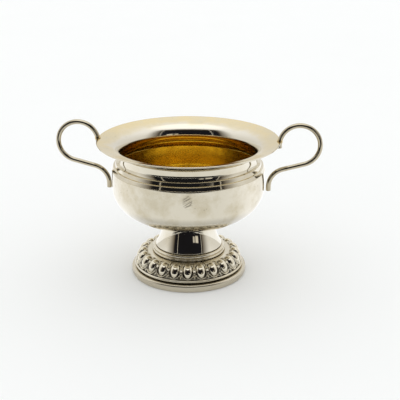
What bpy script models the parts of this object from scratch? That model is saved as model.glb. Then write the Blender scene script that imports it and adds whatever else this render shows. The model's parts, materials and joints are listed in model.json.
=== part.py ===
"""Two-handled footed sugar bowl in spun and soldered silver, with a gilt inside.

The bowl is a stack of turned pieces round the Z axis: a flared rim collar, a stepped
shoulder ring, the bowl body, a trumpet stem with a ring at each end, a border of eggs,
a small bead and a plain base band. Two bent wire handles stand on +X and -X. Nothing
moves: on the real bowl every joint is a soldered seam, drawn here as a narrow gap.

All lengths below are in millimetres; turned outlines are (radius, height) pairs.
"""
import math

import bmesh
import bpy
from mathutils import Matrix, Vector

MM = 0.001
SEAM = 0.3                      # gap left where two pieces are soldered together

# --- driving dimensions -------------------------------------------------------------
TURN_STEPS = 56                 # facets round the large turned pieces
SMALL_TURN_STEPS = 40           # facets round the stem and its rings
SHEET = 0.8                     # thickness of the spun sheet

RIM_RADIUS = 54.6
NECK_RADIUS = 40.7              # narrowest place of the outside, under the flare
NECK_HEIGHT = 74.0
FLARE_LOWER = 7.7               # radius of the bend just above the neck
FLARE_UPPER = 6.5               # radius of the bend that follows it
FLARE_CHANGE = 60.0             # slope at which the lower bend meets the upper one
RIM_SLOPE = 14.5                # slope of the straight outer part of the flare
NECK_COVE = 5.5                 # radius of the hollow below the neck
COVE_END = 27.0                 # how far round the hollow goes, in degrees

BELLY_RADIUS = 45.8
BELLY_TOP = 66.8
BELLY_TURN = 55.4               # height where the straight wall starts to curve in
BELLY_BOTTOM = 33.9
FLAT_RADIUS = 15.4              # radius of the flat that the stem is soldered to

STEP_HEIGHTS = (71.2, 69.0)     # the two treads of the stepped shoulder
STEP_EDGES = (43.3, 44.9)       # outer edge of each tread
STEP_FEET = (44.0, 45.8)        # foot of the sloped riser below each tread
STEP_BEVEL = 0.3                # width of the bevel along the edge of each tread
STEP_DROP = 0.2                 # height of that bevel
STEP_FILL = 0.4                 # width of the bevel at the foot of the upper riser
STEP_LIP = 0.4                  # height of the upright edge over the bowl

STEM_TOP = BELLY_BOTTOM - 1.3
STEM_FOOT = 18.5
STEM_TOP_RADIUS = 15.27
STEM_CONE = 0.19                # how fast the stem widens at its top
STEM_PARTS = 6
STEM_FLARE = 0.00073            # how fast it widens further, with the cube of the drop

RING_RADIUS = 16.8              # thin ring of solder wire under the bowl
RING_INNER = 14.6
RING_BEVEL = 0.3

COLLAR_RADIUS = 22.2            # double ring between the stem and the border
COLLAR_TOP = 17.7
COLLAR_BOTTOM = 14.2
COLLAR_INNER = 19.0
COLLAR_SETBACK = 0.4            # how far the upper bead stands behind the lower one
BEAD_END = 80.0                 # degrees from level where a bead meets the flat
BEAD_MEET = 70.0                # degrees from level where the two beads meet

EGG_COUNT = 24
BORDER_CENTRE = (23.3, 6.2)     # centre of the quarter ellipse that the border follows
BORDER_AXES = (8.9, 7.9)
BORDER_START = 88.0             # degrees round the quarter ellipse
BORDER_END = 8.0
EGG_ANGLE = 40.0                # place of the egg centres on that quarter ellipse
EGG_HALF = (2.5, 3.1, 1.25)     # half width, half length, half height of an egg
FIRST_EGG = 3.4                 # degrees from the front towards +X

BEAD_RADIUS = 32.6
BEAD_HEIGHT = 6.0
BEAD_WIRE = 0.75
BEAD_ARC = (90.0, -225.0)       # degrees round the wire, from its top by the outside
BAND_RADIUS = 35.3
BAND_HEIGHT = 4.6
BAND_INNER = 30.4
BAND_ROUND = (0.9, 1.7)         # axes of the rounded outer edge
BAND_MIDDLE = 2.6               # height of the widest place of that edge
BAND_ARC = (55.0, -45.0)        # degrees round that edge, from above to below
BAND_UNDERCUT = 0.7             # how far the underside stands in from the edge

WIRE_RADIUS = 1.5
HANDLE_START = (54.1, 79.4)     # lower end of the tab at the rim
HANDLE_TAB = 1.5
LOOP_RADIUS = 12.0
LOOP_TURN = 258.0
HANDLE_RUN = 13.4               # straight run from the loop towards the bowl
HANDLE_BEND = 11.1
HANDLE_FOOT = 2.6
HANDLE_HEADING = 93.0           # direction of the tab, in degrees from level
SLOT_DEPTH = 4.0                # how far in from the rim edge the saw cut reaches

# --- how finely the curves are divided ----------------------------------------------
UPPER_BEND_STEPS = 4
LOWER_BEND_STEPS = 3
COVE_STEPS = 2
BELLY_STEPS = 10
COLLAR_BEAD_STEPS = 4
BORDER_STEPS = 6
EGG_SEGMENTS = (8, 5)           # round an egg, and from its top to its foot
FOOT_BEAD_STEPS = 7
BAND_STEPS = 4
LOOP_STEPS = 24
HANDLE_BEND_STEPS = 8
WIRE_RESOLUTION = 2
SHARP_ANGLE = 35.0              # corners sharper than this stay sharp, in degrees


SILVER = (0.80, 0.77, 0.70)
GILT = (0.86, 0.70, 0.42)
POLISHED, RUBBED, STRUCK = 0.12, 0.18, 0.24     # roughness of the three surfaces


def remove_old_objects():
    for old in list(bpy.data.objects):
        bpy.data.objects.remove(old, do_unlink=True)


def make_collection(name):
    made = bpy.data.collections.new(name)
    bpy.context.scene.collection.children.link(made)
    return made


def make_material(name, colour, roughness):
    """A polished metal finish."""
    material = bpy.data.materials.new(name)
    material.use_nodes = True
    shader = material.node_tree.nodes["Principled BSDF"]
    shader.inputs["Base Color"].default_value = (*colour, 1.0)
    shader.inputs["Metallic"].default_value = 1.0
    shader.inputs["Roughness"].default_value = roughness
    material.diffuse_color = (*colour, 1.0)
    return material


def arc(centre, radius, start, end, steps):
    """Points on a circular arc, angles in degrees."""
    return ellipse(centre, (radius, radius), start, end, steps)


def ellipse(centre, axes, start, end, steps):
    """Points on an elliptical arc, angles in degrees."""
    points = []
    for step in range(steps + 1):
        angle = math.radians(start + (end - start) * step / steps)
        points.append((centre[0] + axes[0] * math.cos(angle),
                       centre[1] + axes[1] * math.sin(angle)))
    return points


def smooth(thing):
    """Shade the round faces smooth and keep real corners sharp."""
    mesh = thing.data
    mesh.shade_smooth()
    mesh.set_sharp_from_angle(angle=math.radians(SHARP_ANGLE))


def new_object(name, mesh, collection, material=None):
    thing = bpy.data.objects.new(name, mesh)
    collection.objects.link(thing)
    if material:
        mesh.materials.append(material)
    return thing


def add_screw(thing, steps):
    screw = thing.modifiers.new("turn", "SCREW")
    screw.axis = "Z"
    screw.angle = 2 * math.pi
    screw.steps = steps
    screw.render_steps = steps
    screw.use_merge_vertices = True
    screw.merge_threshold = 0.00001
    screw.use_smooth_shade = True


def turned(name, outline, origin_height, steps, collection, material, wall=None):
    """A turned piece. With a wall the outline is the outside of a sheet of that
    thickness; without one it is a closed section."""
    points = [(r * MM, 0.0, (z - origin_height) * MM) for r, z in outline]
    last = len(points) - 1
    edges = [(i, i + 1) for i in range(last)]
    if wall is None:
        edges.append((last, 0))
    mesh = bpy.data.meshes.new(name)
    mesh.from_pydata(points, edges, [])
    thing = new_object(name, mesh, collection, material)
    thing.location.z = origin_height * MM
    add_screw(thing, steps)
    if wall is not None:
        sheet = thing.modifiers.new("sheet", "SOLIDIFY")
        sheet.thickness = wall * MM
        sheet.offset = -1.0
        sheet.use_even_offset = True
    return thing


def flare_outline():
    """The flare from the rim edge down to the neck: straight, upper bend, lower bend."""
    change = math.radians(FLARE_CHANGE)
    slope = math.radians(RIM_SLOPE)
    lower_centre = (NECK_RADIUS + FLARE_LOWER, NECK_HEIGHT)
    meet = (lower_centre[0] - FLARE_LOWER * math.sin(change),
            lower_centre[1] + FLARE_LOWER * math.cos(change))
    upper_centre = (meet[0] + FLARE_UPPER * math.sin(change),
                    meet[1] - FLARE_UPPER * math.cos(change))
    upper = arc(upper_centre, FLARE_UPPER, 90 + RIM_SLOPE, 90 + FLARE_CHANGE,
                UPPER_BEND_STEPS)
    lower = arc(lower_centre, FLARE_LOWER, 90 + FLARE_CHANGE, 180, LOWER_BEND_STEPS)
    rim_height = upper[0][1] + (RIM_RADIUS - upper[0][0]) * math.tan(slope)
    return [(RIM_RADIUS, rim_height)] + upper + lower[1:]


def rim_collar(collection, material):
    """Flared rim, the bends down to the neck and the hollow below it, in one sheet."""
    cove_centre = (NECK_RADIUS + NECK_COVE, NECK_HEIGHT)
    cove = arc(cove_centre, NECK_COVE, 180, 180 + COVE_END, COVE_STEPS)
    outline = flare_outline() + cove[1:]
    foot = STEP_HEIGHTS[0] + SEAM
    return turned("rim_collar", outline, foot, TURN_STEPS, collection, material, SHEET)


def shoulder_ring(collection, material):
    """Stepped ring: two level treads, each with a slightly sloped riser below."""
    inner = NECK_RADIUS + NECK_COVE * (1 - math.cos(math.radians(COVE_END))) + SEAM
    upper, lower = STEP_HEIGHTS
    foot = BELLY_TOP + SEAM
    outline = [(inner, upper),
               (STEP_EDGES[0] - STEP_BEVEL, upper),
               (STEP_EDGES[0], upper - STEP_DROP),
               (STEP_FEET[0], lower + STEP_DROP),
               (STEP_FEET[0] + STEP_FILL, lower),
               (STEP_EDGES[1] - STEP_BEVEL, lower),
               (STEP_EDGES[1], lower - STEP_DROP),
               (STEP_FEET[1], foot + STEP_LIP),
               (STEP_FEET[1], foot)]
    return turned("shoulder_ring", outline, foot, TURN_STEPS, collection, material, SHEET)


def bowl_body(collection, material):
    """Straight wall, then a quarter ellipse, then the flat over the stem."""
    axes = (BELLY_RADIUS - FLAT_RADIUS, BELLY_TURN - BELLY_BOTTOM)
    curve = ellipse((FLAT_RADIUS, BELLY_TURN), axes, 0, -90, BELLY_STEPS)
    outline = [(BELLY_RADIUS, BELLY_TOP)] + curve + [(0.0, BELLY_BOTTOM)]
    return turned("bowl_body", outline, BELLY_BOTTOM, TURN_STEPS, collection, material,
                  SHEET)


def stem(collection, material):
    """Trumpet stem: the radius grows with the drop from the top and with its cube."""
    outline = []
    for step in range(STEM_PARTS + 1):
        drop = (STEM_TOP - STEM_FOOT) * step / STEM_PARTS
        radius = STEM_TOP_RADIUS + STEM_CONE * drop + STEM_FLARE * drop ** 3
        outline.append((radius, STEM_TOP - drop))
    return turned("stem", outline, STEM_FOOT, SMALL_TURN_STEPS, collection, material, SHEET)


def stem_top_ring(collection, material):
    """Thin ring of solder wire in the corner between the bowl and the stem."""
    top = BELLY_BOTTOM - SEAM
    foot = STEM_TOP + SEAM
    outline = [(RING_RADIUS - RING_BEVEL, top),
               (RING_RADIUS, (top + foot) / 2),
               (RING_RADIUS - RING_BEVEL, foot),
               (RING_INNER, foot),
               (RING_INNER, top)]
    return turned("stem_top_ring", outline, foot, SMALL_TURN_STEPS, collection, material)


def stem_collar(collection, material):
    """Double ring that the stem stands on: two beads with a groove between."""
    middle = (COLLAR_TOP + COLLAR_BOTTOM) / 2
    bead = (middle - COLLAR_BOTTOM) / 2
    upper_centre = (COLLAR_RADIUS - bead - COLLAR_SETBACK, COLLAR_TOP - bead)
    lower_centre = (COLLAR_RADIUS - bead, COLLAR_BOTTOM + bead)
    upper = arc(upper_centre, bead, BEAD_END, -BEAD_MEET, COLLAR_BEAD_STEPS)
    lower = arc(lower_centre, bead, BEAD_MEET, -BEAD_END, COLLAR_BEAD_STEPS)
    outline = upper + lower
    outline += [(COLLAR_INNER, COLLAR_BOTTOM), (COLLAR_INNER, COLLAR_TOP)]
    return turned("stem_collar", outline, COLLAR_BOTTOM, SMALL_TURN_STEPS, collection,
                  material)


def egg_mesh():
    """All the eggs of the border as one mesh: flattened balls lying on the slope."""
    shape = bmesh.new()
    angle = math.radians(EGG_ANGLE)
    place = (BORDER_CENTRE[0] + BORDER_AXES[0] * math.cos(angle),
             BORDER_CENTRE[1] + BORDER_AXES[1] * math.sin(angle))
    normal = Vector((math.cos(angle) / BORDER_AXES[0], math.sin(angle) / BORDER_AXES[1]))
    tilt = math.pi / 2 - math.atan2(normal.y, normal.x)
    size = Matrix.Diagonal((EGG_HALF[1] * MM, EGG_HALF[0] * MM, EGG_HALF[2] * MM, 1.0))
    lay = Matrix.Rotation(tilt, 4, "Y")
    move = Matrix.Translation((place[0] * MM, 0.0, place[1] * MM))
    for number in range(EGG_COUNT):
        turn = math.radians(FIRST_EGG - 90 + number * 360 / EGG_COUNT)
        around = Matrix.Rotation(turn, 4, "Z")
        bmesh.ops.create_uvsphere(shape, u_segments=EGG_SEGMENTS[0],
                                  v_segments=EGG_SEGMENTS[1], radius=1.0,
                                  matrix=around @ move @ lay @ size)
    mesh = bpy.data.meshes.new("border_eggs")
    shape.to_mesh(mesh)
    shape.free()
    return mesh


def egg_border(collection, cutters, material):
    """Stamped border: a domed sheet with a ring of eggs standing out of it."""
    outline = [(COLLAR_INNER, COLLAR_BOTTOM - SEAM)]
    outline += ellipse(BORDER_CENTRE, BORDER_AXES, BORDER_START, BORDER_END, BORDER_STEPS)
    foot = outline[-1][1]
    border = turned("egg_border", outline, foot, TURN_STEPS, collection, material, SHEET)
    eggs = new_object("border_eggs", egg_mesh(), cutters)
    eggs.hide_render = True
    eggs.display_type = "WIRE"
    join = border.modifiers.new("eggs", "BOOLEAN")
    join.operation = "UNION"
    join.solver = "EXACT"
    join.object = eggs
    return border


def foot_bead(collection, material):
    """Small round bead between the border and the base band."""
    section = arc((BEAD_RADIUS, BEAD_HEIGHT), BEAD_WIRE, *BEAD_ARC, FOOT_BEAD_STEPS)
    return turned("foot_bead", section, BEAD_HEIGHT, TURN_STEPS, collection, material)


def base_band(collection, material):
    """Plain rounded band that the bowl stands on, flat underneath."""
    centre = (BAND_RADIUS - BAND_ROUND[0], BAND_MIDDLE)
    outline = [(BAND_INNER, BAND_HEIGHT), (centre[0], BAND_HEIGHT)]
    outline += ellipse(centre, BAND_ROUND, *BAND_ARC, BAND_STEPS)
    outline += [(BAND_RADIUS - BAND_UNDERCUT, 0.0), (BAND_INNER, 0.0)]
    return turned("base_band", outline, 0.0, TURN_STEPS, collection, material)


def handle_route():
    """Centre line of a handle as (distance from the axis, height) points: a short tab
    upwards, round the loop, a straight run back and a bend down the side."""
    x, z = HANDLE_START
    heading = math.radians(HANDLE_HEADING)
    bend_turn = LOOP_TURN - HANDLE_HEADING - 90.0
    route = [(x, z)]

    def run(length):
        nonlocal x, z
        x += length * math.cos(heading)
        z += length * math.sin(heading)
        route.append((x, z))

    def bend(radius, turn, steps):
        nonlocal x, z, heading
        part = math.radians(turn) / steps
        side = math.copysign(radius, turn)
        for _ in range(steps):
            after = heading + part
            x += side * (math.sin(after) - math.sin(heading))
            z -= side * (math.cos(after) - math.cos(heading))
            heading = after
            route.append((x, z))

    run(HANDLE_TAB)
    bend(LOOP_RADIUS, -LOOP_TURN, LOOP_STEPS)
    run(HANDLE_RUN)
    bend(HANDLE_BEND, bend_turn, HANDLE_BEND_STEPS)
    run(HANDLE_FOOT)
    return route


def wire_mesh(name, points):
    """A round wire along the points, with welded end caps."""
    curve = bpy.data.curves.new(name, "CURVE")
    curve.dimensions = "3D"
    curve.bevel_depth = WIRE_RADIUS * MM
    curve.bevel_resolution = WIRE_RESOLUTION
    curve.use_fill_caps = True
    spline = curve.splines.new("POLY")
    spline.points.add(len(points) - 1)
    for point, place in zip(spline.points, points):
        point.co = (*place, 1.0)
    holder = bpy.data.objects.new(name, curve)
    mesh = bpy.data.meshes.new_from_object(holder)
    bpy.data.objects.remove(holder)
    welded = bmesh.new()
    welded.from_mesh(mesh)
    bmesh.ops.remove_doubles(welded, verts=welded.verts, dist=1e-6)
    bmesh.ops.recalc_face_normals(welded, faces=welded.faces)
    welded.to_mesh(mesh)
    welded.free()
    return mesh


def rim_slot(cutters):
    """Saw cut for the handle ends: the outer part of the rim sheet, made one seam
    thicker all round."""
    slope = math.radians(RIM_SLOPE)
    edge = flare_outline()[0]
    lower = Vector((math.sin(slope), -math.cos(slope))) * SEAM
    outer = (edge[0] + SEAM, edge[1] + SEAM * math.tan(slope) + lower.y)
    inner = (edge[0] - SLOT_DEPTH, edge[1] - SLOT_DEPTH * math.tan(slope) + lower.y)
    slot = turned("rim_slot", [outer, inner], 0.0, TURN_STEPS, cutters, None,
                  SHEET + 2 * SEAM)
    slot.hide_render = True
    slot.display_type = "WIRE"
    return slot


def handle(name, side, slot, collection, material):
    """One handle; side is +1 or -1 along X."""
    start_x, start_z = handle_route()[0]
    points = [((side * (x - start_x)) * MM, 0.0, (z - start_z) * MM)
              for x, z in handle_route()]
    mesh = wire_mesh(name, points)
    mesh.name = name
    thing = new_object(name, mesh, collection, material)
    thing.location = (side * start_x * MM, 0.0, start_z * MM)
    cut = thing.modifiers.new("rim_slot", "BOOLEAN")
    cut.operation = "DIFFERENCE"
    cut.solver = "EXACT"
    cut.object = slot
    return thing


def main():
    remove_old_objects()
    parts = make_collection("sugar_bowl")
    cutters = make_collection("sugar_bowl_cutters")

    pieces = [
        rim_collar(parts, make_material("gilt_rim_silver", GILT, POLISHED)),
        shoulder_ring(parts, make_material("shoulder_silver", SILVER, POLISHED)),
        bowl_body(parts, make_material("bowl_silver", SILVER, RUBBED)),
        stem_top_ring(parts, make_material("solder_ring_silver", SILVER, STRUCK)),
        stem(parts, make_material("stem_silver", SILVER, POLISHED)),
        stem_collar(parts, make_material("stem_collar_silver", SILVER, POLISHED)),
        egg_border(parts, cutters, make_material("border_silver", SILVER, STRUCK)),
        foot_bead(parts, make_material("bead_silver", SILVER, RUBBED)),
        base_band(parts, make_material("base_band_silver", SILVER, STRUCK)),
    ]
    slot = rim_slot(cutters)
    pieces.append(handle("handle_left", -1, slot, parts,
                         make_material("handle_left_silver", SILVER, RUBBED)))
    pieces.append(handle("handle_right", 1, slot, parts,
                         make_material("handle_right_silver", SILVER, RUBBED)))
    for piece in pieces:
        if piece.name.startswith("handle"):
            smooth(piece)


main()
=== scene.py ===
# %% [markdown]
# # A two-handled silver sugar bowl
# The real bowl is spun from thin silver sheet, soldered together from turned pieces, gilt
# inside, and given two handles of bent wire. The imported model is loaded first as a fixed
# frame: it says where each piece is and how big it is. Every piece made below stands in for
# one of its nodes and shows the finer shape of the real one.

# %% Load the frame
import json
import math

import bmesh
import bpy
import numpy as np
from mathutils import Matrix, Vector

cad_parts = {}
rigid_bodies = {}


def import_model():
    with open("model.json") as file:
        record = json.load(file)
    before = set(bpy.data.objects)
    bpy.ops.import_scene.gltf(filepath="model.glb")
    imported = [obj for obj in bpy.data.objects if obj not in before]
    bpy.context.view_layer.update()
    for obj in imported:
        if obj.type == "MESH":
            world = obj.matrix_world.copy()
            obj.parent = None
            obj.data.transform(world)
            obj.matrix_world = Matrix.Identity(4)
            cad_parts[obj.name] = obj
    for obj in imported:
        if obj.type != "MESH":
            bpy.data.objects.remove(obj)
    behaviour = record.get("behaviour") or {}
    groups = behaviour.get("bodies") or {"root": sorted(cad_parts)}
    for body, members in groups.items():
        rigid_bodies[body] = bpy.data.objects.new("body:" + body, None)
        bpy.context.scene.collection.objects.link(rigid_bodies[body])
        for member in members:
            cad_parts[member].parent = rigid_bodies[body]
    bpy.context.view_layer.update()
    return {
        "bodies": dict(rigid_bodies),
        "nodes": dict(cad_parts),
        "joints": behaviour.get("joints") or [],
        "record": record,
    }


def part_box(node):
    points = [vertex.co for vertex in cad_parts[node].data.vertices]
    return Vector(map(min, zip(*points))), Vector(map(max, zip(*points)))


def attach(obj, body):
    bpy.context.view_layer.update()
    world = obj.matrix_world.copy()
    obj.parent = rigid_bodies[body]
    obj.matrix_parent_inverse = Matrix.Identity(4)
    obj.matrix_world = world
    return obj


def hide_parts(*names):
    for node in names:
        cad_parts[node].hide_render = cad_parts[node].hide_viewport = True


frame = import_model()
MM = 0.001
print("nodes:", sorted(frame["nodes"]))


# %% [markdown]
# ## Where each piece is
# A turned piece is known by three numbers: its largest radius, its top and its foot. They
# are read from the frame, in millimetres, so that every piece sits exactly where the packed
# model has it.

# %% Radius, top and foot of each turned piece
def reach(node):
    """Largest radius, top and foot of a node in mm, from the corners of its box."""
    low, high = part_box(node)
    return high.x / MM, high.z / MM, low.z / MM


RIM_RADIUS, RIM_TOP, _ = reach("rim_collar")
STEP_RADIUS, STEP_TOP, STEP_FOOT = reach("shoulder_ring")
BELLY_RADIUS, BELLY_TOP, BELLY_FOOT = reach("bowl_body")
for node in ("rim_collar", "shoulder_ring", "bowl_body", "stem", "egg_border", "base_band"):
    print(node, "radius, top, foot:", [round(value, 2) for value in reach(node)])


# %% [markdown]
# ## Outlines
# Spun work starts as a drawn outline. Three small helpers draw one: an arc of an ellipse, a
# corner softened the way a polishing wheel softens it, and extra points along long sides so
# that smooth shading stays true right up to each corner.

# %% Helpers for outlines
CAP_ANGLES = np.radians(np.linspace(15, 165, 7))[:, None]
SAME_PLACE = 1e-5               # mm
CLOSE_SHARE = 0.3               # of the gap: an added point this near to a corner is left out


def arc(centre, axes, start, end, count):
    """Points (centre r + a cos t, centre z + b sin t), with t from start to end degrees."""
    t = np.radians(np.linspace(start, end, count))
    return np.stack([centre[0] + axes[0] * np.cos(t), centre[1] + axes[1] * np.sin(t)], 1)


def soften(corners, cut, steps=5):
    """Each corner becomes the curve (1-s)^2 A + 2 s (1-s) corner + s^2 B, where A and B lie
    `cut` mm before and after it on the two sides. The end points stay as they are."""
    corners = np.asarray(corners, float)
    cut = np.broadcast_to(np.asarray(cut, float), len(corners) - 2)[:, None]
    before, here, after = corners[:-2], corners[1:-1], corners[2:]
    back, on = before - here, after - here
    a = here + back / np.linalg.norm(back, axis=1, keepdims=True) * cut
    b = here + on / np.linalg.norm(on, axis=1, keepdims=True) * cut
    s = np.linspace(0, 1, steps)[None, :, None]
    curve = (1 - s) ** 2 * a[:, None] + 2 * s * (1 - s) * here[:, None] + s ** 2 * b[:, None]
    return np.concatenate([corners[:1], curve.reshape(-1, 2), corners[-1:]])


def spaced(outline, gap):
    """The same outline with points added, so that no two are further apart than gap."""
    steps = np.linalg.norm(np.diff(outline, axis=0), axis=1)
    keep = np.concatenate([[True], steps > SAME_PLACE])
    outline, steps = outline[keep], steps[keep[1:]]
    along = np.concatenate([[0], np.cumsum(steps)])
    even = np.linspace(0, along[-1], int(along[-1] / gap) + 1)
    nearest = np.abs(even[:, None] - along[None, :]).min(1)
    places = np.sort(np.concatenate([along, even[nearest > gap * CLOSE_SHARE]]))
    return np.stack([np.interp(places, along, outline[:, i]) for i in (0, 1)], 1)


def sheet(middle, half, caps=(True, True)):
    """Closed section of bent sheet: the line `middle` moved by +half and -half along its
    normal, with a half circle round each end that has a cap. An outline drawn from its top
    down has the outside first. Also tells the side of each row: 1 outside, -1 inside, 0 on
    a cap."""
    run = np.gradient(middle, axis=0)
    run /= np.linalg.norm(run, axis=1, keepdims=True)
    left = np.stack([-run[:, 1], run[:, 0]], 1)
    t = CAP_ANGLES
    far = middle[-1] + half * (left[-1] * np.cos(t) + run[-1] * np.sin(t))
    near = middle[0] + half * (-left[0] * np.cos(t) - run[0] * np.sin(t))
    parts = [(middle + left * half, 1), (far if caps[1] else far[:0], 0),
             ((middle - left * half)[::-1], -1), (near if caps[0] else near[:0], 0)]
    section = np.concatenate([points for points, _ in parts])
    side = np.concatenate([np.full(len(points), number) for points, number in parts])
    return section, side


print("a quarter circle in three points:", arc((0, 0), (1, 1), 0, 90, 3).round(2).tolist())

# %% [markdown]
# ## From an outline to a mesh
# Spinning turns an outline into a surface: each point goes round the axis in a circle. The
# grid of points is worked out as one array and put into the mesh at once. The section is
# closed, so the surface is a closed skin, and its normals can be set to point outwards.

# %% Helpers for surfaces
MERGE, DEGENERATE = 1e-7, 1e-8  # m: points this close are one, and a side this short is none
WIDE, NARROW = 256, 192         # steps round a wide piece and round a narrow one


def carry_round(r, z, a):
    """The point at radius r and height z goes to (r cos a, r sin a, z) at each angle a."""
    return np.stack([r * np.cos(a), r * np.sin(a), z + 0 * a], 2)


def turn(outline, around):
    """The outline carried round in even steps. Rows follow the outline, columns the angle."""
    a = np.linspace(0, 2 * np.pi, around, endpoint=False)[None, :]
    return carry_round(outline[:, :1], outline[:, 1:], a)


def skin(name, grid, close_rows=True, finishes=(), finish_of_row=None, marks=None):
    """Mesh object from a grid of points in mm. Columns always close round; rows close when
    close_rows is set. marks are named values, one (or one vector) for each grid point."""
    rows, columns = grid.shape[:2]
    i = np.arange(rows if close_rows else rows - 1)[:, None]
    j = np.arange(columns)[None, :]
    next_i, next_j = (i + 1) % rows, (j + 1) % columns
    faces = np.stack([i * columns + j, i * columns + next_j, next_i * columns + next_j,
                      next_i * columns + j], 2).reshape(-1, 4)
    mesh = bpy.data.meshes.new(name)
    mesh.from_pydata((grid.reshape(-1, 3) * MM).tolist(), [], faces.tolist())
    for finish in finishes:
        mesh.materials.append(finish)
    if finish_of_row is not None:
        mesh.polygons.foreach_set(
            "material_index", np.repeat(np.asarray(finish_of_row, np.int32)[:len(i)], columns))
    for key, values in (marks or {}).items():
        kind, field = ("FLOAT_VECTOR", "vector") if values.ndim == 3 else ("FLOAT", "value")
        layer = mesh.attributes.new(key, kind, "POINT")
        layer.data.foreach_set(field, values.astype(np.float32).ravel())
    tidy_skin(mesh)
    piece = bpy.data.objects.new(name, mesh)
    bpy.context.scene.collection.objects.link(piece)
    print(name, "faces:", len(mesh.polygons))
    return piece


def tidy_skin(mesh):
    """Poles are closed by merging points that coincide, and normals are turned outwards."""
    work = bmesh.new()
    work.from_mesh(mesh)
    bmesh.ops.remove_doubles(work, verts=work.verts, dist=MERGE)
    bmesh.ops.dissolve_degenerate(work, edges=work.edges, dist=DEGENERATE)
    bmesh.ops.recalc_face_normals(work, faces=work.faces)
    work.to_mesh(mesh)
    work.free()
    mesh.shade_smooth()


def place(piece, node):
    """The piece rides on the one body and stands in for its CAD node, which is hidden."""
    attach(piece, "root")
    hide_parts(node)
    return piece


def turned_piece(name, section, around, node, finishes, finish_of_row=None):
    """A closed outline turned, given its finishes and put in its place. A piece with two
    finishes has a row of 0 or 1, the finish of each row of the outline."""
    grid = turn(section, around)
    return place(skin(name, grid, True, finishes, finish_of_row), node)


print("a circle of", WIDE, "steps has the shape", turn(np.array([[1.0, 0.0]]), WIDE).shape)

# %% [markdown]
# ## Colour and node helpers
# Colours are written as the hex values that a paint card shows. Blender wants linear light,
# so one function turns them. One more adds a node with its settings and its links; every
# finish and the light below are built with it.

# %% Helpers for finishes
def linear(hex_colour):
    """sRGB hex to linear: c / 12.92 below 0.04045, else ((c + 0.055) / 1.055) ^ 2.4."""
    c = np.array([int(hex_colour[i:i + 2], 16) for i in (1, 3, 5)]) / 255
    c = np.where(c <= 0.04045, c / 12.92, ((c + 0.055) / 1.055) ** 2.4)
    return (*c.tolist(), 1.0)


def add(tree, kind, values=None, links=None, **settings):
    """A shader node with its settings, socket values and links. A link comes from a socket,
    or from a node, which means its first output."""
    node = tree.nodes.new("ShaderNode" + kind)
    for key, value in settings.items():
        setattr(node, key, value)
    for socket, value in (values or {}).items():
        node.inputs[socket].default_value = value
    for socket, source in (links or {}).items():
        first = source.outputs[0] if isinstance(source, bpy.types.Node) else source
        tree.links.new(first, node.inputs[socket])
    return node


FALL = {"To Min": 1.0, "To Max": 0.0}           # settings of a ramp that goes down


def new_finish(name):
    """A new material and its node tree, emptied."""
    finish = bpy.data.materials.new(name)
    finish.use_nodes = True
    finish.node_tree.nodes.clear()
    return finish, finish.node_tree


def surface_of_metal(finish, colour, rough, normal):
    """The last step of every metal finish here: full metal with these three sockets."""
    tree = finish.node_tree
    shader = add(tree, "BsdfPrincipled", {"Metallic": 1.0},
                 {"Base Color": colour, "Roughness": rough, "Normal": normal})
    add(tree, "OutputMaterial", links={"Surface": shader})
    print(finish.name, "nodes:", len(tree.nodes))
    return finish


print("white is", linear("#ffffff"), "mid grey is", [round(v, 3) for v in linear("#808080")])


# %% [markdown]
# ## Polished silver and gilt silver
# Silver of this age is polished by hand: bright, a little warm, with a thin uneven tarnish,
# fine lines left by the wheel going round the piece, and a scatter of small pits. Polished
# metal shows what stands round it more than its own colour, so all of this is small: a slow
# change between two near colours, a little change in roughness, and a bump of a few
# thousandths of a millimetre. Each layer is a short function, and the finish puts them
# together. Real wheel lines are finer than these, which are drawn just coarse enough to show.

# %% The layers of the polished finish
WHEEL_ROUND = 12.0              # mm over which a wheel line keeps its brightness
PIT_SPACING = 7.0               # spacing of the pits, in pit sizes
SPOT_COLOUR = "#5d5546"


def wheel_lines(tree, axis, wheel):
    """Noise that changes fast with height plus distance from the axis, else slowly."""
    flat = add(tree, "CombineXYZ", links={"X": axis["X"], "Y": axis["Y"]})
    radius = add(tree, "VectorMath", links={0: flat}, operation="LENGTH")
    across = add(tree, "Math", links={0: radius.outputs["Value"], 1: axis["Z"]},
                 operation="ADD")
    packed = add(tree, "Math", {1: WHEEL_ROUND / wheel}, {0: across}, operation="MULTIPLY")
    lines_at = add(tree, "CombineXYZ", links={"X": axis["X"], "Y": axis["Y"], "Z": packed})
    return add(tree, "TexNoise", {"Scale": 1 / (WHEEL_ROUND * MM), "Detail": 3.0},
               {"Vector": lines_at}).outputs["Fac"]


def pitted(tree, here, clouds, metal, pit):
    """Small dark spots, only where the tarnish clouds are thick."""
    pits = add(tree, "TexVoronoi", {"Scale": 1 / (pit * PIT_SPACING * MM),
                                    "Randomness": 1.0}, {"Vector": here}, feature="F1")
    speck = add(tree, "MapRange", {"From Min": 0.05, "From Max": 0.09, **FALL},
                {"Value": pits.outputs["Distance"]})
    rare = add(tree, "Math", {1: 0.55}, {0: clouds}, operation="GREATER_THAN")
    spot = add(tree, "Math", links={0: speck, 1: rare}, operation="MULTIPLY")
    return add(tree, "Mix", {7: linear(SPOT_COLOUR)}, {0: spot, 6: metal},
               data_type="RGBA").outputs[2]


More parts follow.
